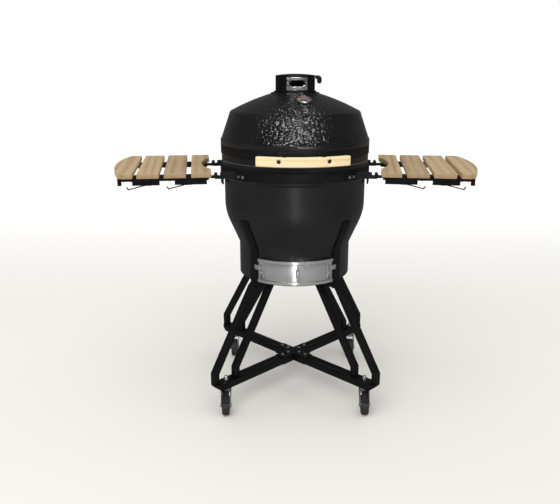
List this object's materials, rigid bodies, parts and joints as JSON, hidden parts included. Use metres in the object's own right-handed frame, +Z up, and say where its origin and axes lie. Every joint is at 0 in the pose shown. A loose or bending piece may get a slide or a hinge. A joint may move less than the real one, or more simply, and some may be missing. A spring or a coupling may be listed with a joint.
{
  "type": "kamado grill",
  "caption": "Egg-shaped ceramic charcoal grill with a hinged dome, vented cap, sliding lower vent, fold-down slatted side tables and a wheeled cart.",
  "frame": {"origin": "on the floor under the middle of the whole grill's bounding box", "axes": "+Z up, -Y towards the front with the handle and the vent, +X to the right seen from the front, along the tables"},
  "size_m": [1.4604, 0.713, 1.3473],
  "materials": {
    "black_glaze": "glossy dark ceramic glaze over fine pebbled bumps",
    "fire_clay": "dull unglazed ceramic",
    "black_band": "satin black coated steel band",
    "black_coat": "black powder coat with slight orange peel",
    "zinc": "bright zinc plate",
    "polished_steel": "polished stainless steel",
    "grate_steel": "electropolished stainless rod",
    "spring_steel": "oiled spring wire",
    "cast_iron": "black cast iron",
    "table_wood": "oiled hardwood",
    "handle_wood": "oiled hardwood",
    "felt": "pressed heat-proof felt",
    "dial": "white printed dial",
    "clear_glass": "clear",
    "needle": "red paint",
    "case_steel": "polished stainless steel",
    "wheel_rubber": "hard black rubber",
    "fork_steel": "zinc plated pressed steel",
    "brake_plastic": "black coated steel"
  },
  "bodies": {
    "grill_body": {"bowl_shell": "black_glaze", "bowl_gasket": "felt", "lower_band": "black_band", "lower_band_bolts": "zinc", "fire_box": "fire_clay", "fire_ring": "fire_clay", "charcoal_grate": "cast_iron", "vent_frame": "polished_steel", "vent_screen": "grate_steel", "vent_screws": "zinc", "table_brackets": "black_band", "hinge_base": "black_band", "hinge_pin": "zinc", "hinge_springs": "spring_steel", "leg_front_left": "black_coat", "leg_front_right": "black_coat", "leg_rear_left": "black_coat", "leg_rear_right": "black_coat", "caster_stems": "zinc", "seat_ring": "black_coat", "brace_long": "black_coat", "brace_halves": "black_coat", "cross_plates": "black_coat", "cross_bolts": "zinc"},
    "lid": {"dome_shell": "black_glaze", "dome_gasket": "felt", "upper_band": "black_band", "hinge_lid_bracket": "black_band", "upper_band_bolts": "zinc", "handle_bar": "handle_wood", "handle_brackets": "black_band", "handle_bolts": "zinc", "thermometer_case": "case_steel", "thermometer_face": "dial", "thermometer_glass": "clear_glass", "thermometer_probe": "grate_steel", "cap_body": "cast_iron", "cap_window": "polished_steel", "cap_screws": "zinc"},
    "cap": {"cap_lid": "cast_iron", "cap_drum": "cast_iron"},
    "needle": {"thermometer_needle": "needle"},
    "vent_door": {"vent_door": "polished_steel"},
    "cooking_grate": {"cooking_grate": "grate_steel"},
    "table_left": {"table_left_slats": "table_wood", "table_left_frame": "black_coat", "table_left_screws": "zinc"},
    "table_right": {"table_right_slats": "table_wood", "table_right_frame": "black_coat", "table_right_screws": "zinc"},
    "caster_front_left": {"caster_fork_front_left": "fork_steel"},
    "wheel_front_left": {"caster_wheel_front_left": "wheel_rubber"},
    "brake_front_left": {"caster_brake_front_left": "brake_plastic"},
    "caster_front_right": {"caster_fork_front_right": "fork_steel"},
    "wheel_front_right": {"caster_wheel_front_right": "wheel_rubber"},
    "brake_front_right": {"caster_brake_front_right": "brake_plastic"},
    "caster_rear_left": {"caster_fork_rear_left": "fork_steel"},
    "wheel_rear_left": {"caster_wheel_rear_left": "wheel_rubber"},
    "caster_rear_right": {"caster_fork_rear_right": "fork_steel"},
    "wheel_rear_right": {"caster_wheel_rear_right": "wheel_rubber"}
  },
  "joints": [
    {"name": "lid_hinge", "type": "hinge", "parent": "grill_body", "child": "lid", "pos_m": [0, 0.338, 1.021], "axis": [-1, 0, 0], "range_deg": [0, 75]},
    {"name": "cap_turn", "type": "hinge", "parent": "lid", "child": "cap", "pos_m": [0, 0, 1.33], "axis": [0, 0, 1], "range_deg": [0, 75]},
    {"name": "needle_turn", "type": "hinge", "parent": "lid", "child": "needle", "pos_m": [0.02922, -0.16239, 1.2478], "axis": [-0.0643, 0.3575, -0.9317], "range_deg": [0, 270], "stiffness_Nm_per_rad": 0.001},
    {"name": "vent_slide", "type": "hinge", "parent": "grill_body", "child": "vent_door", "pos_m": [0, 0, 0.58], "axis": [0, 0, 1], "range_deg": [-45, 45]},
    {"name": "grate_lift", "type": "slide", "parent": "grill_body", "child": "cooking_grate", "axis": [0, 0, 1], "range_m": [0, 0.1]},
    {"name": "table_right_fold", "type": "hinge", "parent": "grill_body", "child": "table_right", "pos_m": [0.33052, -0.04058, 0.965], "axis": [0.1219, 0.9925, 0], "range_deg": [0, 90]},
    {"name": "table_left_fold", "type": "hinge", "parent": "grill_body", "child": "table_left", "pos_m": [-0.33052, -0.04058, 0.965], "axis": [0.1219, -0.9925, 0], "range_deg": [0, 90]},
    {"name": "swivel_front_left", "type": "hinge", "parent": "grill_body", "child": "caster_front_left", "pos_m": [-0.28426, -0.28426, 0.09], "axis": [0, 0, 1], "continuous": true},
    {"name": "roll_front_left", "type": "hinge", "parent": "caster_front_left", "child": "wheel_front_left", "pos_m": [-0.28426, -0.31426, 0.04], "axis": [1, 0, 0], "continuous": true},
    {"name": "brake_press_front_left", "type": "hinge", "parent": "caster_front_left", "child": "brake_front_left", "pos_m": [-0.28426, -0.30626, 0.094], "axis": [1, 0, 0], "range_deg": [0, 8]},
    {"name": "swivel_front_right", "type": "hinge", "parent": "grill_body", "child": "caster_front_right", "pos_m": [0.28426, -0.28426, 0.09], "axis": [0, 0, 1], "continuous": true},
    {"name": "roll_front_right", "type": "hinge", "parent": "caster_front_right", "child": "wheel_front_right", "pos_m": [0.28426, -0.31426, 0.04], "axis": [1, 0, 0], "continuous": true},
    {"name": "brake_press_front_right", "type": "hinge", "parent": "caster_front_right", "child": "brake_front_right", "pos_m": [0.28426, -0.30626, 0.094], "axis": [1, 0, 0], "range_deg": [0, 8]},
    {"name": "swivel_rear_left", "type": "hinge", "parent": "grill_body", "child": "caster_rear_left", "pos_m": [-0.28426, 0.28426, 0.09], "axis": [0, 0, 1], "continuous": true},
    {"name": "roll_rear_left", "type": "hinge", "parent": "caster_rear_left", "child": "wheel_rear_left", "pos_m": [-0.28426, 0.25426, 0.04], "axis": [1, 0, 0], "continuous": true},
    {"name": "swivel_rear_right", "type": "hinge", "parent": "grill_body", "child": "caster_rear_right", "pos_m": [0.28426, 0.28426, 0.09], "axis": [0, 0, 1], "continuous": true},
    {"name": "roll_rear_right", "type": "hinge", "parent": "caster_rear_right", "child": "wheel_rear_right", "pos_m": [0.28426, 0.25426, 0.04], "axis": [1, 0, 0], "continuous": true}
  ]
}
